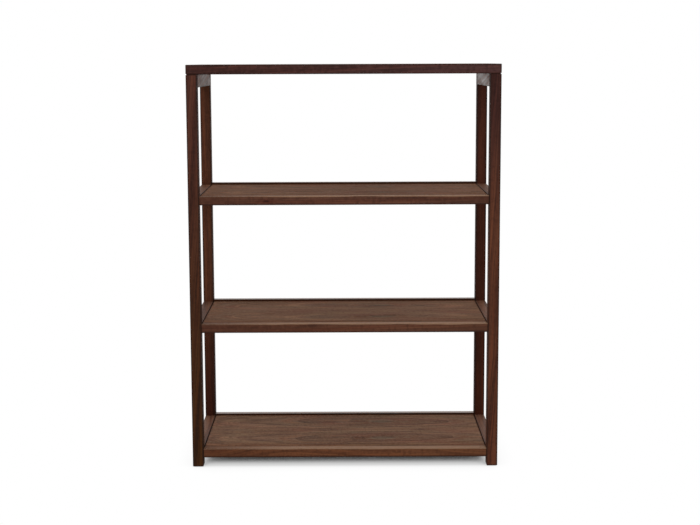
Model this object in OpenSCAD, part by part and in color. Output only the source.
// Open walnut bookcase: two ladder-like side frames carry a lipped top and a fixed bottom shelf,
// and two loose shelves between them rest on flat-topped pins in rows of drilled holes.
// Millimetres. +Z is up, +X runs along the width, the front faces -Y, and the floor is z = 0.

/* [Overall] */
// Width over the posts
overall_w = 914; // [700:1:1200]
// Depth over the posts
overall_d = 380; // [320:1:450]
// Height from the floor to the top's upper face
overall_h = 1200; // [1050:1:1500]

/* [Side frames] */
// Side of the square posts
post_s = 32; // [30:1:40]
// Height of the side rails that line up with the shelves
rail_h = 26; // [24:1:32]
// Height of the side rails under the top
top_rail_h = 38; // [34:1:50]
// Length of a rail's tenon
tenon_l = 20; // [14:1:24]
// Thickness of a rail's tenon
tenon_t = 10; // [8:1:10]
// Distance from a post's outer face to the tenon
tenon_inset = 8; // [7:0.5:9]
// Shoulder above and below a tenon
tenon_shoulder = 4; // [3:0.5:6]
// Flat taken off each long edge of the solid wood
arris = 1; // [0.5:0.1:1.5]
// Bevel round a post's foot
foot_bevel = 2; // [1:0.5:3]
// Bevel on the outer top edges of the posts and the outer lower edges of the top
shadow_bevel = 2.5; // [1:0.5:4]

/* [Top] */
// Thickness of the top
top_t = 28; // [26:1:36]
// Width of the solid lippings round the top and along the shelves' fronts
lipping_w = 25; // [24:1:30]
// Length of the tongues that hold the lippings to the panels
tongue_l = 6; // [4:1:8]
// Thickness of those tongues
tongue_t = 8; // [6:1:8]

/* [Shelves] */
// Thickness of the shelves
shelf_t = 26; // [26:1:32]
// Clear height under the bottom shelf
under_shelf = 29; // [20:1:80]
// Gap between a shelf's panel and the side rails
panel_gap = 2.5; // [1.5:0.5:4]
// Gap between a shelf's solid front and back edges and the posts
edge_gap = 1; // [0.6:0.1:1.5]
// Depth of the back edge, from the front of the back posts
back_edge_d = 20; // [18:1:22]
// How far the back edge stands above the shelf
back_edge_rise = 6; // [4:1:10]

/* [Pin holes] */
// Hole spaces from one shelf to the next
spaces_between = 12; // [10:1:14]
// Hole spaces below the middle shelf's pins
spaces_below = 8; // [4:1:8]
// Hole spaces above the upper shelf's pins
spaces_above = 10; // [4:1:10]
// Radius of the pin holes
hole_r = 2.55; // [2.55:0.01:2.58]
// Depth of the pin holes
hole_depth = 11; // [11:0.5:12]

/* [Shelf pins] */
// Radius of a pin's shank
pin_r = 2.5; // [2.5:0.01:2.52]
// Length of the shank in its hole
pin_shank_l = 10; // [8:0.5:10]
// Radius of a pin's head
pin_head_r = 4.5; // [4:0.1:4.5]
// Length of a pin's head
pin_head_l = 11; // [9:0.5:12]
// Height of the head's flat above the pin's axis
pin_flat = 2.5; // [2:0.1:3]
// Length of the pocket under the shelf, long enough to draw the pin
pocket_l = 26; // [25:0.5:30]
// Width of the pocket
pocket_w = 11; // [10:0.5:11]
// Depth of the pocket
pocket_h = 9; // [8:0.5:9]

/* [Fixings] */
// Length of the screws that hold the top
top_screw_l = 40; // [30:1:42]
// Distance of those screws from the middle of the depth
top_screw_y = 90; // [60:1:110]
// Thickness of the battens under the bottom shelf
batten_t = 12; // [10:1:14]
// Width of the battens
batten_w = 50; // [44:1:54]
// Length of the screws in the battens
batten_screw_l = 25; // [22:1:28]
// Distance between those screws along the depth
batten_screw_pitch = 110; // [80:1:120]
// Radius of the dowels in the back stretcher
dowel_r = 4; // [3:0.5:4]
// Length of the dowels
dowel_l = 36; // [30:1:40]
// Length of a dowel that stands in the post
dowel_in_post = 12; // [10:0.5:12]
// Radius of the nylon glides
glide_r = 10; // [8:0.5:11]
// Thickness of the glides
glide_t = 3; // [2.5:0.5:4]
// How far the glides stand below the posts
glide_proud = 1; // [0.5:0.1:1.5]

/* [Hidden] */
$fn = 48;

WALNUT = "#5a3826";
WALNUT_PANEL = "#6b4a36";
STEEL = "#b9b9b4";
BRONZE = "#6e5638";
BEECH = "#d8b98c";
NYLON = "#2b2b2b";

LEFT = -1;
RIGHT = 1;
FRONT = -1;
BACK = 1;

half_w = overall_w / 2;
half_d = overall_d / 2;
inner_x = half_w - post_s;               // the posts' and rails' inner faces
inner_y = half_d - post_s;               // the posts' faces that the rails meet
post_top = overall_h - top_t;            // underside of the top

// Three equal bays between the bottom shelf and the top
bottom_z = under_shelf + shelf_t;
bay_h = (post_top - bottom_z - 2 * shelf_t) / 3;
middle_z = bottom_z + bay_h + shelf_t;
upper_z = middle_z + bay_h + shelf_t;

// A row of pin holes: one of them is under each loose shelf
hole_pitch = (bay_h + shelf_t) / spaces_between;
pin_below_top = shelf_t - pocket_h + pin_flat;   // pin's axis below the shelf's upper face
first_hole_z = middle_z - pin_below_top - spaces_below * hole_pitch;
hole_count = spaces_below + spaces_between + spaces_above + 1;
front_pin_y = -half_d + post_s / 2;
back_pin_y = inner_y + back_edge_d / 2;

tenon_x = half_w - tenon_inset - tenon_t / 2;    // middle of a tenon's thickness
tongue_z = 11;                                   // tongue's underside above the shelf's
top_tongue_z = (top_t - tongue_t) / 2;
top_screw_x = half_w - 13;
top_screw_seat = 14;                             // depth of the counterbore in the rail
top_screw_r = 2;
batten_screw_r = 1.75;
batten_l = 2 * inner_y - 16;
batten_out = 7;                                  // batten's edge in from the posts' outer faces
rail_screw_x = half_w - 20;
panel_screw_x = inner_x - panel_gap - 11;
dowel_in = 8;                                    // dowel's axis in from the stretcher's edges
nail_r = 1.25;
nail_l = 16;
EPS = 0.01;                                      // lets a cutter clear the face it opens

// Rectangle from (x0, y0) to (x1, y1) with one bevel for each corner, in the order
// lower left, lower right, upper right, upper left
module bevelled(x0, y0, x1, y1, c) {
    polygon([
        [x0 + c[0], y0], [x1 - c[1], y0], [x1, y0 + c[1]], [x1, y1 - c[2]],
        [x1 - c[2], y1], [x0 + c[3], y1], [x0, y1 - c[3]], [x0, y0 + c[0]]
    ]);
}

// An outline in the Y-Z plane, drawn out along X from x0 to x1
module along_x(x0, x1) {
    translate([x0, 0, 0]) rotate([90, 0, 90]) linear_extrude(x1 - x0) children();
}

// An outline in the X-Z plane, drawn out along Y from y0 to y1
module along_y(y0, y1) {
    translate([0, y1, 0]) rotate([90, 0, 0]) linear_extrude(y1 - y0) children();
}

module box(low, high) {
    translate(low) cube(high - low);
}

// A rod of radius r along X, from x to x + length
module rod_x(x, y, z, r, length) {
    translate([x, y, z]) rotate([0, 90, 0]) cylinder(r = r, h = length);
}

// A box that is given for the right-hand side and is turned over for the left
module sided_box(side, low, high) {
    x0 = side == RIGHT ? low[0] : -high[0];
    x1 = side == RIGHT ? high[0] : -low[0];
    box([x0, low[1], low[2]], [x1, high[1], high[2]]);
}

// ---- Side frames ----------------------------------------------------------------------

// The tenon of a rail whose underside is at z, at one end; it also cuts the mortise
module tenon(side, end, z, h) {
    y0 = end == BACK ? inner_y : -inner_y - tenon_l;
    sided_box(side, [tenon_x - tenon_t / 2, y0, z + tenon_shoulder],
              [tenon_x + tenon_t / 2, y0 + tenon_l, z + h - tenon_shoulder]);
}

module side_rail(side, z, h) {
    e = arris;
    x0 = side == RIGHT ? inner_x : -half_w;
    color(WALNUT) union() {
        along_y(-inner_y, inner_y) bevelled(x0, z, x0 + post_s, z + h, [e, e, e, e]);
        tenon(side, FRONT, z, h);
        tenon(side, BACK, z, h);
    }
}

// Every rail of a side frame, as [underside, height]
rails = [
    [bottom_z - rail_h, rail_h], [middle_z - rail_h, rail_h],
    [upper_z - rail_h, rail_h], [post_top - top_rail_h, top_rail_h]
];

// A post before it is cut: eased along its length, bevelled round the foot and, on its two
// outer faces, at the top
module post_blank(side, end) {
    x0 = side == RIGHT ? inner_x : -half_w;
    y0 = end == BACK ? inner_y : -half_d;
    f = foot_bevel;
    s = shadow_bevel;
    c_x = side == RIGHT ? [f, f, s, 0] : [f, f, 0, s];
    c_y = end == BACK ? [f, f, s, 0] : [f, f, 0, s];
    intersection() {
        translate([0, 0, glide_proud]) linear_extrude(post_top - glide_proud)
            bevelled(x0, y0, x0 + post_s, y0 + post_s, [arris, arris, arris, arris]);
        along_y(y0 - 1, y0 + post_s + 1) bevelled(x0, glide_proud, x0 + post_s, post_top, c_x);
        along_x(x0 - 1, x0 + post_s + 1) bevelled(y0, glide_proud, y0 + post_s, post_top, c_y);
    }
}

module post(side, end) {
    hole_y = end == BACK ? back_pin_y : front_pin_y;
    hole_x = side == RIGHT ? inner_x - EPS : -inner_x - hole_depth;
    color(WALNUT) difference() {
        post_blank(side, end);
        for (r = rails) tenon(side, end, r[0], r[1]);
        for (i = [0 : hole_count - 1])
            rod_x(hole_x, hole_y, first_hole_z + i * hole_pitch, hole_r, hole_depth + EPS);
        if (end == BACK) dowels(side);
        glide(side, end);
    }
}

// A nylon glide with its nail, let into the foot of a post
module glide(side, end) {
    translate([side * (half_w - post_s / 2), end * (half_d - post_s / 2), 0]) {
        rotate_extrude() polygon([
            [0, 0], [glide_r - 1, 0], [glide_r, 1], [glide_r, glide_t], [nail_r, glide_t],
            [nail_r, glide_t + nail_l - 2], [0, glide_t + nail_l]
        ]);
    }
}

module foot_glides() {
    color(NYLON) for (side = [LEFT, RIGHT], end = [FRONT, BACK]) glide(side, end);
}

// ---- Top --------------------------------------------------------------------------------

// The panel of the top: it ends in a tongue on all four sides
module top_panel() {
    x = half_w - lipping_w;
    y = half_d - lipping_w;
    z = post_top + top_tongue_z;
    color(WALNUT_PANEL) union() {
        box([-x, -y, post_top], [x, y, overall_h]);
        box([-x - tongue_l, -y - tongue_l, z], [x + tongue_l, y + tongue_l, z + tongue_t]);
    }
}

// The lipping along one edge of the top, mitred at both ends. It is drawn as a back or right
// edge: run is half of the edge's length, and out is the distance of its outer face.
module lipping_blank(run, out) {
    c = [0, shadow_bevel, arris, 0];
    intersection() {
        along_x(-run, run) bevelled(out - lipping_w, post_top, out, overall_h, c);
        translate([0, 0, post_top]) linear_extrude(top_t) polygon([
            [-run, out], [run, out], [run - lipping_w, out - lipping_w],
            [-run + lipping_w, out - lipping_w]
        ]);
    }
}

module top_lipping(turn, run, out) {
    color(WALNUT) difference() {
        rotate([0, 0, turn]) lipping_blank(run, out);
        top_panel();
        top_screws();
    }
}

module top_front_lipping() { top_lipping(180, half_w, half_d); }
module top_back_lipping() { top_lipping(0, half_w, half_d); }
module top_left_lipping() { top_lipping(90, half_d, half_w); }
module top_right_lipping() { top_lipping(-90, half_d, half_w); }

// A pan-headed wood screw, head down, with its seat at z = 0
module pan_screw(r, length) {
    rotate_extrude() polygon([
        [0, -3], [2 * r - 0.8, -3], [2 * r, -2], [2 * r, 0], [r, 0], [r, length - 4],
        [0, length]
    ]);
}

// A countersunk wood screw, head down, with its face at z = 0
module flat_screw(r, length) {
    rotate_extrude() polygon([
        [0, 0], [2.1 * r, 0], [2.1 * r, 0.4], [r, 0.4 + 1.1 * r], [r, length - 4],
        [0, length]
    ]);
}

module top_screws() {
    z = post_top - top_rail_h + top_screw_seat;
    color(STEEL) for (side = [LEFT, RIGHT], y = [-top_screw_y, top_screw_y])
        translate([side * top_screw_x, y, z]) pan_screw(top_screw_r, top_screw_l);
}

// A top rail is counterbored from below for the screws that hold the top
module top_rail(side) {
    z = post_top - top_rail_h;
    color(WALNUT) difference() {
        side_rail(side, z, top_rail_h);
        for (y = [-top_screw_y, top_screw_y]) translate([side * top_screw_x, y, z]) {
            translate([0, 0, -1]) cylinder(r = 3 * top_screw_r, h = top_screw_seat + 1);
            cylinder(r = top_screw_r + 0.5, h = top_rail_h + 1);
        }
    }
}

module top_left_rail() { top_rail(LEFT); }
module top_right_rail() { top_rail(RIGHT); }
module upper_left_rail() { side_rail(LEFT, upper_z - rail_h, rail_h); }
module upper_right_rail() { side_rail(RIGHT, upper_z - rail_h, rail_h); }
module middle_left_rail() { side_rail(LEFT, middle_z - rail_h, rail_h); }
module middle_right_rail() { side_rail(RIGHT, middle_z - rail_h, rail_h); }

module bottom_rail(side) {
    color(WALNUT) difference() {
        side_rail(side, bottom_z - rail_h, rail_h);
        batten_screws();
    }
}

module bottom_left_rail() { bottom_rail(LEFT); }
module bottom_right_rail() { bottom_rail(RIGHT); }

module front_left_post() { post(LEFT, FRONT); }
module front_right_post() { post(RIGHT, FRONT); }
module back_left_post() { post(LEFT, BACK); }
module back_right_post() { post(RIGHT, BACK); }

// ---- Shelves ----------------------------------------------------------------------------

// The panel of the shelf whose upper face is at z, tongued along its front and back
module shelf_panel(z) {
    x = inner_x - panel_gap;
    y0 = -half_d + lipping_w;
    t = z - shelf_t + tongue_z;
    color(WALNUT_PANEL) union() {
        box([-x, y0, z - shelf_t], [x, inner_y, z]);
        box([-x, y0 - tongue_l, t], [x, inner_y + tongue_l, t + tongue_t]);
    }
}

// The pockets under a shelf that drop over its pins, for the row of pins at y
module pin_pockets(y, z) {
    x = inner_x;
    for (side = [LEFT, RIGHT])
        sided_box(side, [x - edge_gap - pocket_l, y - pocket_w / 2, z - shelf_t - EPS],
                  [x, y + pocket_w / 2, z - shelf_t + pocket_h]);
}

// The solid front edge of a shelf
module shelf_lipping(z, loose) {
    x = inner_x - edge_gap;
    color(WALNUT) difference() {
        along_x(-x, x) bevelled(-half_d, z - shelf_t, -half_d + lipping_w, z,
                                [arris, 0, 0, arris]);
        shelf_panel(z);
        if (loose) pin_pockets(front_pin_y, z);
    }
}

// The solid back edge of a shelf, which stands above it and stops books
module shelf_back_edge(z, x) {
    color(WALNUT) difference() {
        along_x(-x, x) bevelled(inner_y, z - shelf_t, inner_y + back_edge_d,
                                z + back_edge_rise, [0, arris, arris, arris]);
        shelf_panel(z);
    }
}

module loose_back_edge(z) {
    color(WALNUT) difference() {
        shelf_back_edge(z, inner_x - edge_gap);
        pin_pockets(back_pin_y, z);
    }
}

module middle_shelf_panel() { shelf_panel(middle_z); }
module middle_shelf_lipping() { shelf_lipping(middle_z, true); }
module middle_shelf_back_edge() { loose_back_edge(middle_z); }
module upper_shelf_panel() { shelf_panel(upper_z); }
module upper_shelf_lipping() { shelf_lipping(upper_z, true); }
module upper_shelf_back_edge() { loose_back_edge(upper_z); }

// The bottom shelf is fixed: its back edge is a stretcher that is dowelled to the back posts,
// and battens under its ends are screwed to it and to the bottom rails
module bottom_shelf_panel() {
    difference() {
        shelf_panel(bottom_z);
        batten_screws();
    }
}

module bottom_shelf_lipping() { shelf_lipping(bottom_z, false); }

module bottom_back_stretcher() {
    color(WALNUT) difference() {
        shelf_back_edge(bottom_z, inner_x);
        stretcher_dowels();
    }
}

// The two dowels at one end of the stretcher
module dowels(side) {
    x = side == RIGHT ? inner_x + dowel_in_post - dowel_l : -inner_x - dowel_in_post;
    low = bottom_z - shelf_t + dowel_in;
    high = bottom_z + back_edge_rise - dowel_in;
    for (z = [low, high]) rod_x(x, back_pin_y, z, dowel_r, dowel_l);
}

module stretcher_dowels() {
    color(BEECH) for (side = [LEFT, RIGHT]) dowels(side);
}

module bottom_shelf_battens() {
    x1 = half_w - batten_out;
    z = bottom_z - shelf_t - batten_t;
    color(WALNUT) difference() {
        for (side = [LEFT, RIGHT])
            sided_box(side, [x1 - batten_w, -batten_l / 2, z], [x1, batten_l / 2, z + batten_t]);
        batten_screws();
    }
}

module batten_screws() {
    z = bottom_z - shelf_t - batten_t;
    p = batten_screw_pitch;
    color(STEEL) for (side = [LEFT, RIGHT], x = [panel_screw_x, rail_screw_x], y = [-p, 0, p])
        translate([side * x, y, z]) flat_screw(batten_screw_r, batten_screw_l);
}

// ---- Shelf pins ---------------------------------------------------------------------------

// One pin for the right-hand side: a round shank that points into the post, and a head with
// a flat on top, whose shoulder stops against the post
module pin_blank() {
    rotate([0, 90, 0]) cylinder(r = pin_r, h = pin_shank_l);
    translate([-pin_head_l, 0, 0]) intersection() {
        rotate([0, 90, 0]) cylinder(r = pin_head_r, h = pin_head_l);
        box([0, -pin_head_r, -pin_head_r], [pin_head_l, pin_head_r, pin_flat]);
    }
}

// The front and back pins on one side, under the shelf whose upper face is at z
module pin_pair(side, z) {
    turn = side == RIGHT ? 0 : 180;
    color(BRONZE) for (y = [front_pin_y, back_pin_y])
        translate([side * inner_x, y, z - pin_below_top]) rotate([0, 0, turn]) pin_blank();
}

module middle_left_pins() { pin_pair(LEFT, middle_z); }
module middle_right_pins() { pin_pair(RIGHT, middle_z); }
module upper_left_pins() { pin_pair(LEFT, upper_z); }
module upper_right_pins() { pin_pair(RIGHT, upper_z); }

front_left_post();
front_right_post();
back_left_post();
back_right_post();
top_left_rail();
top_right_rail();
upper_left_rail();
upper_right_rail();
middle_left_rail();
middle_right_rail();
bottom_left_rail();
bottom_right_rail();
top_panel();
top_front_lipping();
top_back_lipping();
top_left_lipping();
top_right_lipping();
top_screws();
bottom_shelf_panel();
bottom_shelf_lipping();
bottom_back_stretcher();
stretcher_dowels();
bottom_shelf_battens();
batten_screws();
foot_glides();
middle_shelf_panel();
middle_shelf_lipping();
middle_shelf_back_edge();
upper_shelf_panel();
upper_shelf_lipping();
upper_shelf_back_edge();
middle_left_pins();
middle_right_pins();
upper_left_pins();
upper_right_pins();
